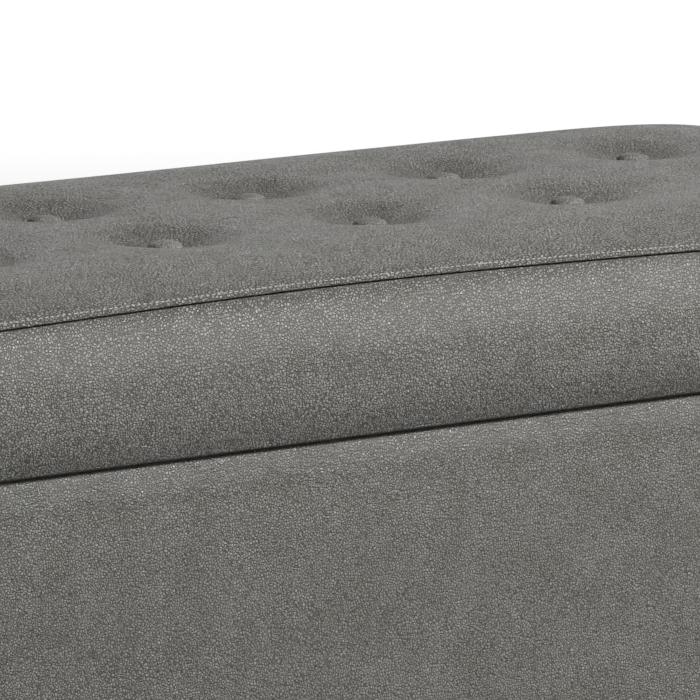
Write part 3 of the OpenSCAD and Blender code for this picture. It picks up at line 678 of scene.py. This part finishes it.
def make_stitches():
    """Short raised threads in the groove beside the seam."""
    points, _ = outline(HALF_L - STITCH_IN, HALF_D - STITCH_IN, LID_R - STITCH_IN, STITCH_PITCH, 8)
    closed = np.vstack([points, points[:1]])
    length = travelled(closed)
    count = int(length[-1] / STITCH_PITCH)
    centre = (np.arange(count) + 0.5) * length[-1] / count
    half, thick = 1.45 * MM, 0.40 * MM
    verts, faces = [], []
    # stations along a stitch, how thick it is there and how far it dives into the leather
    station = np.array([-1, -0.8, -0.35, 0.35, 0.8, 1])
    fat = np.array([0.35, 0.8, 1, 1, 0.8, 0.35])
    sink = np.array([-0.75, -0.3, 0.05, 0.05, -0.3, -0.75])
    rings, sides = len(station), 6
    for c in centre:
        place = c + station * half
        x = np.interp(place % length[-1], length, closed[:, 0])
        y = np.interp(place % length[-1], length, closed[:, 1])
        tangent = np.array([x[-1] - x[0], y[-1] - y[0]])
        tangent /= np.linalg.norm(tangent)
        side = np.array([tangent[1], -tangent[0]])
        foot = SEAM_Z - seam_drop(x + side[0] * STITCH_IN, y + side[1] * STITCH_IN)
        back = side * (SEAM_IN - STITCH_IN)
        inner = SEAM_Z + crown_height(x - back[0], y - back[1])
        ground = foot + (inner - foot) * STITCH_IN / SEAM_IN - 0.10 * MM
        base = len(verts)
        for k in range(rings):
            for a in range(sides):
                turn = 2 * math.pi * a / sides
                out = math.cos(turn) * thick * fat[k]
                verts.append((x[k] + side[0] * out, y[k] + side[1] * out,
                              ground[k] + sink[k] * thick + math.sin(turn) * thick * fat[k]))
        faces += ring_faces(rings, sides, base)
        faces.append(tuple(base + a for a in range(sides - 1, -1, -1)))
        faces.append(tuple(base + (rings - 1) * sides + a for a in range(sides)))
    made = piece("lid_topstitching", verts, faces, "lid")
    return finish_piece(made, THREAD)


make_stitches()


# ---- Lid: the side band ----

def make_band():
    """The stuffed side band, from the seam's crease to the leather turned in under the lid."""
    points, normals = outline(HALF_L, HALF_D, LID_R, 4 * MM, 10)
    drop = seam_drop(points[:, 0], points[:, 1])
    along = travelled(points)
    upper = CREASE_Z - drop
    hem = FOLD_Z - HEM_DROP * (1 - smooth(points[:, 1], *HINGE_CLEAR))
    lower = hem + HEM_R * (1 - math.sin(HEM_LEAN))
    profile = [(-4.2 * MM, upper + 0.1 * MM), (-1.6 * MM, upper + 0.2 * MM), (-0.5 * MM, upper + 0.1 * MM)]
    corner = np.abs(normals[:, 0] * normals[:, 1]) * 2
    pucker = waves(along, 0 * along, 0.018, 21)
    for t in np.linspace(0.012, 1, 38):
        swell = 1 - abs(2 * t - 1) ** 2.1
        lump = 0.55 * MM * waves(along, np.full_like(along, t * 0.09), 0.12, 5) * swell
        gather = 0.30 * MM * pucker * (math.exp(-t * 12) + 0.3 * math.exp(-(1 - t) * 14))
        out = BULGE * swell * (1 - 0.15 * corner) + lump + gather
        profile.append((out, upper + (lower - upper) * t))
    for angle in np.linspace(34, 90, 7):
        a = math.radians(angle)
        turned = HEM_R * (math.cos(a) - math.cos(HEM_LEAN))
        profile.append((turned + 0.09 * MM * pucker, hem + HEM_R * (1 - math.sin(a))))
    start = HEM_R * math.cos(HEM_LEAN)
    for t in (0.11, 0.22, 0.6, 1.0):
        rise = (FOLD_Z - hem) * min(1, 4.6 * t) + 0.25 * MM * waves(along, 0 * along, 0.03, 9) * t
        profile.append((-start - (FOLD_W - start) * t, hem + rise))
    profile.append((-FOLD_W - 0.4 * MM, FOLD_Z + SKIN))
    verts = sweep_in(points, normals, profile, LID_R)
    faces = ring_faces(len(profile), len(points), flip=True)
    made = piece("lid_band_leather", verts, faces, "lid", ["lid_band"])
    return finish_piece(made, LEATHER)


band_cover = make_band()


# ---- Lid: the buttons ----

def make_buttons():
    """Domed shells covered in leather, gathered under the rim."""
    turns = 40
    # radius and height above the seat, in mm
    profile = [(9.2, 0.0), (10.6, 0.35), (11.35, 1.1), (11.5, 2.3), (11.3, 3.5), (10.7, 4.6), (9.5, 5.6),
               (7.6, 6.4), (5.1, 6.95), (2.5, 7.25)]
    seat = button_lo[2] - BUTTON_SINK
    verts, faces = [], []
    for k, (bx, by) in enumerate(BUTTONS):
        base = len(verts)
        tip = 0.04 * np.array([math.sin(2.1 * k), math.cos(3.3 * k)])
        for r, z in profile:
            for i in range(turns):
                a = 2 * math.pi * i / turns
                gather = 1 + 0.012 * math.cos(9 * a + k) * max(0, (11.6 - abs(r - 11.0) * 4) / 11.6) * (z < 3)
                x, y = r * MM * gather * math.cos(a), r * MM * gather * math.sin(a)
                verts.append((bx + x, by + y, seat + z * MM + tip[0] * x + tip[1] * y))
        verts.append((bx, by, seat + 7.35 * MM))
        faces += ring_faces(len(profile), turns, base)
        last = base + (len(profile) - 1) * turns
        faces += [(last + i, last + (i + 1) % turns, base + len(profile) * turns) for i in range(turns)]
        faces.append(tuple(base + i for i in range(turns - 1, -1, -1)))
    made = piece("tuft_button_covers", verts, faces, "lid", ["tuft_buttons"])
    return finish_piece(made, leather("leather_button", 0.98, 0.6, 0.9))


make_buttons()


# ---- Lid: the padding and the cloth under the board ----

def make_lid_padding():
    """Foam and wadding as one closed form just inside the leather."""
    x, y, faces, loop, normals = rounded_grid(HALF_L - 7 * MM, HALF_D - 7 * MM, LID_R - 7 * MM, 8 * MM)
    board_top = box("lid_board")[1][2]
    verts = np.column_stack([x, y, SEAM_Z + np.maximum(crown_height(x, y) - 4 * MM, -12 * MM)])
    start = verts[loop]
    rings = [verts]
    sides = ((3.5, 0.15), (5.0, 0.5), (4.0, 0.85), (0.5, 1.0))
    for out, t in sides:
        z = start[:, 2] - 4 * MM + (board_top - start[:, 2] + 4 * MM) * t
        rings.append(np.column_stack([start[:, :2] + normals * out * MM, z]))
    rings.append(np.column_stack([start[:, :2] - normals * 6 * MM, np.full(len(loop), board_top + 0.1 * MM)]))
    base, count = len(verts), len(loop)
    for i in range(count):
        a, b = loop[i], loop[(i + 1) % count]
        faces.append((b, a, base + i, base + (i + 1) % count))
    faces += ring_faces(len(sides) + 1, count, base, flip=True)
    end = base + len(sides) * count
    faces.append(tuple(end + i for i in range(count)))
    made = piece("lid_padding", np.concatenate(rings), faces, "lid", ["lid_foam", "lid_wadding"])
    return finish_piece(made, MATERIALS["wadding"])


make_lid_padding()


def make_dust_cover(name, node, body):
    """Thin cloth stapled under a board, sagging a little between its hemmed edges."""
    lo, hi = box(node)
    nx, ny = 150, 56
    xs, ys = np.linspace(lo[0], hi[0], nx), np.linspace(lo[1], hi[1], ny)
    x, y = np.meshgrid(xs, ys, indexing="ij")
    inset = np.minimum(np.minimum(x - lo[0], hi[0] - x), np.minimum(y - lo[1], hi[1] - y))
    ripple = 0.22 * MM * waves(x, y, 0.07, 31) * np.clip(inset / (30 * MM), 0, 1)
    hem = 0.35 * MM * np.exp(-(((inset - 9 * MM) / (1.2 * MM)) ** 2))
    low = lo[2] + 0.3 * MM + ripple - hem
    verts = [np.column_stack([x.ravel(), y.ravel(), low.ravel()]),
             np.column_stack([x.ravel(), y.ravel(), np.full(x.size, hi[2] - 0.02 * MM)])]
    faces = []
    n = nx * ny
    for quad in grid_faces(nx, ny):
        faces.append(quad[::-1])
        faces.append(tuple(v + n for v in quad))
    loop = grid_border(nx, ny)
    for i in range(len(loop)):
        a, b = loop[i], loop[(i + 1) % len(loop)]
        faces.append((a, b, b + n, a + n))
    made = piece(name, np.concatenate(verts), faces, body, [node])
    return finish_piece(made, MATERIALS["dust_cloth"])


make_dust_cover("lid_dust_cloth", "lid_dust_cover", "lid")
make_dust_cover("box_dust_cloth", "base_dust_cover", "base")


# ---- Box: the leather cover ----

WELL_L, WELL_D = lining_hi[0], lining_hi[1]
POST_X, POST_Y = post_lo[0], post_lo[1]
FLAP_Z = lining_hi[2]


def well_corners(inset):
    """Corners of the storage space seen from above, with a notch for each post."""
    a, b, c, d = WELL_L - inset, WELL_D - inset, POST_X - inset, POST_Y - inset
    right = [(a, -d), (a, d), (c, d), (c, b)]
    back = [(-c, b), (-c, d), (-a, d), (-a, -d)]
    return np.array(right + back + [(-c, -d), (-c, -b), (c, -b), (c, -d)])


def well_loop(inset, step=12 * MM):
    """Points spread along those corners, the same number at every inset."""
    corners, plain = well_corners(inset), well_corners(0)
    points = []
    for k in range(len(corners)):
        following = (k + 1) % len(corners)
        p, q = corners[k], corners[following]
        span = np.linalg.norm(plain[k] - plain[following])
        count = max(2, round(span / step))
        points += [p + (q - p) * t / count for t in range(count)]
    return np.array(points)


def in_well(x, y, inset):
    """Whether a place is in the storage space, at least inset from its walls."""
    return ((np.abs(x) < WELL_L - inset) & (np.abs(y) < POST_Y - inset)) | (
        (np.abs(x) < POST_X - inset) & (np.abs(y) < WELL_D - inset))


def make_box_cover():
    """Leather over thin foam: flat walls, a rolled top edge, a flap inside and a fold underneath."""
    points, normals = outline(HALF_L, HALF_D, BOX_R, 6 * MM, 9)
    along = travelled(points)
    count = len(points)
    profile = []
    wall_top = RIM_Z - ROLL_H
    for angle in np.linspace(90, 0, 12):
        a = math.radians(angle)
        crest = 0.8 * MM * math.exp(-(((angle - 76) / 9) ** 2))
        raised = crest * (1 - smooth(points[:, 1], *HINGE_CLEAR))
        z = wall_top + ROLL_H * math.sin(a) ** 0.9 + raised
        profile.append((-ROLL_W + ROLL_W * math.cos(a) ** 0.75, z))
    bottom = FOOT_Z + 4 * MM
    for t in np.linspace(0.015, 1, 46):
        z = wall_top + (bottom - wall_top) * t
        lump = 0.45 * MM * waves(along, np.full_like(along, z), 0.14, 12) * min(1, 6 * t, 6 * (1 - t))
        belly = 0.8 * MM * math.sin(math.pi * t) ** 0.6
        belly += 2.4 * MM * smooth(t, 0.0, 0.09) * (1 - smooth(t, 0.12, 0.5))
        profile.append((lump + belly, z))
    for angle in (20, 45, 70, 90):
        a = math.radians(angle)
        profile.append((-4 * MM * (1 - math.cos(a)), bottom - 4 * MM * math.sin(a)))
    profile.append((-8 * MM, FOOT_Z))
    profile.append((-(FOLD_W - 4 * MM), FOOT_Z + 0.2 * MM))
    profile.append((-FOLD_W, FOOT_Z + 1.3 * MM))
    verts = [sweep_in(points, normals, profile, BOX_R)]
    faces = ring_faces(len(profile), count, flip=True)
    start = len(profile) * count

    # the flap that turns down inside, from the rim's inner edge
    inner = [(-1.4 * MM, RIM_Z), (-0.2 * MM, RIM_Z - 0.15 * MM), (0.9 * MM, RIM_Z - 0.8 * MM),
             (1.4 * MM, RIM_Z - 2.2 * MM), (1.5 * MM, RIM_Z - 8 * MM), (1.5 * MM, FLAP_Z + 4 * MM),
             (1.9 * MM, FLAP_Z + 1.0 * MM), (1.5 * MM, FLAP_Z - 0.3 * MM), (0.2 * MM, FLAP_Z - 0.3 * MM)]
    loops = [well_loop(inset) for inset, _ in inner]
    wcount = len(loops[0])
    for loop, (_, z) in zip(loops, inner):
        verts.append(np.column_stack([loop, np.full(wcount, z)]))
    faces += ring_faces(len(inner), wcount, start)

    # the flat rim between the rolled edge and the flap
    rim = np.concatenate([verts[0][:count, :2], loops[0]])
    edges = [(i, (i + 1) % count) for i in range(count)]
    edges += [(count + i, count + (i + 1) % wcount) for i in range(wcount)]
    _, _, made_faces, source, _, _ = delaunay_2d_cdt([Vector(p) for p in rim], edges, [], 0, 1e-7)
    index = [s[0] for s in source]
    for face in made_faces:
        middle = np.mean([rim[index[v]] for v in face], axis=0)
        if not in_well(middle[0], middle[1], -1.3 * MM):
            faces.append(tuple(index[v] if index[v] < count else start + index[v] - count for v in face))
    made = piece("box_leather", np.concatenate(verts), faces, "base", ["base_cover"])
    return finish_piece(made, LEATHER_BOX)


make_box_cover()


def make_box_padding():
    """The foam sheet round the panels."""
    points, normals = outline(HALF_L, HALF_D, BOX_R, 30 * MM, 6)
    low, high = box("base_foam")[0][2], box("base_foam")[1][2]
    profile = [(-6.4 * MM, low), (-2.2 * MM, low + 1 * MM), (-2.2 * MM, high - 13 * MM),
               (-3.6 * MM, high - 5 * MM), (-6.4 * MM, high - 1.2 * MM), (-6.4 * MM, low)]
    verts = sweep(points, normals, profile)
    faces = ring_faces(len(profile), len(points))
    made = piece("box_padding", verts, faces, "base", ["base_foam"], smooth=False)
    return finish_piece(made, MATERIALS["foam"])


make_box_padding()


# ---- Box: the lining ----

def make_lining():
    """Cloth glued inside the box, a little loose on its floor."""
    floor = lining_lo[2] + 1 * MM
    levels = [(1.0 * MM, FLAP_Z + 2 * MM)]
    levels += [(1.0 * MM, floor + (FLAP_Z - floor) * t) for t in np.linspace(0.97, 0.02, 14)]
    levels += [(1.9 * MM, floor + 0.5 * MM), (4 * MM, floor)]
    verts, loops = [], []
    for inset, z in levels:
        loop = well_loop(inset)
        s = travelled(loop)
        bulge = 0.25 * MM * waves(s, np.full_like(s, z), 0.09, 17)
        loops.append(loop)
        verts.append(np.column_stack([loop * (1 - np.abs(bulge)[:, None] / 0.3), np.full(len(loop), z)]))
    count = len(loops[0])
    faces = ring_faces(len(levels), count)
    start = (len(levels) - 1) * count
    last = loops[-1]
    step = 14 * MM
    xs = np.arange(-WELL_L + step, WELL_L - step / 2, step)
    ys = np.arange(-WELL_D + step, WELL_D - step / 2, step)
    gx, gy = np.meshgrid(xs, ys, indexing="ij")
    inside = in_well(gx, gy, 9 * MM)
    extra = np.column_stack([gx[inside], gy[inside]])
    plane = np.concatenate([last, extra])
    edges = [(i, (i + 1) % count) for i in range(count)]
    _, _, made_faces, source, _, _ = delaunay_2d_cdt([Vector(p) for p in plane], edges, [], 1, 1e-7)
    index = [s[0] for s in source]
    z = floor + 0.5 * MM + 0.35 * MM * waves(extra[:, 0], extra[:, 1], 0.11, 19)
    verts.append(np.column_stack([extra, z]))
    for face in made_faces:
        faces.append(tuple(start + index[v] for v in face))
    made = piece("storage_cloth", np.concatenate(verts), faces, "base", ["storage_lining"])
    return finish_piece(made, MATERIALS["lining"])


make_lining()


# ---- Legs ----

def make_leg(node):
    """A tapered square leg with eased edges."""
    lo, hi = box(node)
    centre = (lo + hi) / 2
    wide = (hi[0] - lo[0]) / 2
    foot = wide * LEG_TAPER
    height = hi[2] - lo[2]
    top = height / MM
    verts = []
    # outwards from the taper and height above the floor, in mm
    rings = [(-1.6, 0.0), (-0.5, 0.4), (0.0, 1.5), (0.0, 15.0), (0.0, 30.0), (0.0, top - 0.8), (-0.6, top)]
    steps, r = 5, 3.0 * MM
    for out, z in rings:
        half = foot + (wide - foot) * z * MM / height + out * MM
        for cx, cy, a0 in ((1, -1, -90), (1, 1, 0), (-1, 1, 90), (-1, -1, 180)):
            for t in np.linspace(0, 90, steps):
                a = math.radians(a0 + t)
                x = centre[0] + cx * (half - r) + r * math.cos(a)
                y = centre[1] + cy * (half - r) + r * math.sin(a)
                verts.append((x, y, lo[2] + z * MM))
    count = 4 * steps
    faces = ring_faces(len(rings), count)
    faces.append(tuple(range(count - 1, -1, -1)))
    faces.append(tuple((len(rings) - 1) * count + i for i in range(count)))
    made = piece(node + "_turned", verts, faces, "base", [node])
    return finish_piece(made, MATERIALS["stained_wood"])


for corner in ("front_left", "front_right", "back_left", "back_right"):
    make_leg(corner + "_leg")


# ---- Stage, light and camera ----

def stage_floor():
    """A pale floor that turns into a white backdrop further out, and lights the bench less than it shows."""
    bpy.ops.mesh.primitive_circle_add(vertices=128, radius=40, fill_type="NGON")
    floor = bpy.context.object
    floor.name = "floor"
    made, tree, surface, where = material("floor", Roughness=0.9, Base_Color=(0.80, 0.80, 0.80, 1))
    surface.inputs["Specular IOR Level"].default_value = 0.1
    away = add(tree, "VectorMath", {0: where}, operation="LENGTH").outputs["Value"]
    far = ramp(tree, away, 1.6, 3.8)
    glow = add(tree, "Emission", {"Color": (1, 1, 1, 1), "Strength": WHITE})
    seen = add(tree, "LightPath").outputs["Is Camera Ray"]
    shade = mix(tree, seen, (FLOOR_BOUNCE,) * 3 + (1,), (0.80, 0.80, 0.80, 1))
    tree.links.new(shade, surface.inputs["Base Color"])
    blend = add(tree, "MixShader", {0: far, 1: surface.outputs[0], 2: glow.outputs[0]})
    output = [n for n in tree.nodes if n.type == "OUTPUT_MATERIAL"][0]
    tree.links.new(blend.outputs[0], output.inputs["Surface"])
    floor.data.materials.append(made)


stage_floor()


def studio_world(ambient, backdrop):
    """Weak light all round and a bright backdrop behind, seen by the camera as plain white."""
    world = bpy.data.worlds.new("studio")
    bpy.context.scene.world = world
    world.use_nodes = True
    tree = world.node_tree
    tree.nodes.clear()
    ray = add(tree, "TexCoord").outputs["Generated"]
    behind = (0.59, 0.81, 0)
    back = add(tree, "VectorMath", {0: ray, 1: behind}, operation="DOT_PRODUCT").outputs["Value"]
    height = add(tree, "SeparateXYZ", {0: ray}).outputs["Z"]
    glow = math_node(tree, "MULTIPLY", ramp(tree, back, -0.1, 0.6), ramp(tree, height, 0.55, 0.15))
    light = math_node(tree, "ADD", math_node(tree, "MULTIPLY", glow, backdrop), ambient)
    seen = add(tree, "LightPath").outputs["Is Camera Ray"]
    strength = math_node(tree, "ADD", light, math_node(tree, "MULTIPLY", seen, WHITE - ambient))
    sky = add(tree, "Background", {"Color": (1.0, 1.0, 1.0, 1), "Strength": strength})
    add(tree, "OutputWorld", {"Surface": sky.outputs[0]})


studio_world(0.03, 0.9)


def area_light(name, place, towards, size, power):
    """A round soft light."""
    data = bpy.data.lights.new(name, "AREA")
    data.shape = "DISK"
    data.size = size
    data.energy = power
    lamp = bpy.data.objects.new(name, data)
    lamp.location = place
    lamp.rotation_euler = (Vector(towards) - Vector(place)).to_track_quat("-Z", "Y").to_euler()
    bpy.context.scene.collection.objects.link(lamp)


BENCH_MIDDLE = (0.0, 0, 0.35)
area_light("key", (0.5, -2.3, 2.7), BENCH_MIDDLE, 0.8, 200)
area_light("sheen", (1.9, -2.2, 2.2), BENCH_MIDDLE, 0.5, 66)

# the view turns from +Y towards +X, and looks down a little
TURN, TILT = math.radians(36.3), math.radians(9.45)
PICTURE, SENSOR = 700, 36                    # width of the picture in pixels, and of the sensor in mm
LENS_PX = 8000                               # focal length, in pixels
DISTANCE = LENS_PX / PX_PER_M
look = Vector((math.sin(TURN) * math.cos(TILT), math.cos(TURN) * math.cos(TILT), -math.sin(TILT)))
target = Vector((-0.202, -0.432, SEAM_Z - 0.0015))
camera_data = bpy.data.cameras.new("camera")
camera_data.sensor_width = SENSOR
camera_data.lens = LENS_PX / PICTURE * SENSOR
camera_data.clip_end = 200
camera = bpy.data.objects.new("camera", camera_data)
camera.location = target - look * DISTANCE
camera.rotation_euler = look.to_track_quat("-Z", "Y").to_euler()
bpy.context.scene.collection.objects.link(camera)
bpy.context.scene.camera = camera
bpy.context.scene.view_settings.view_transform = "Standard"
bpy.context.scene.view_settings.look = "None"
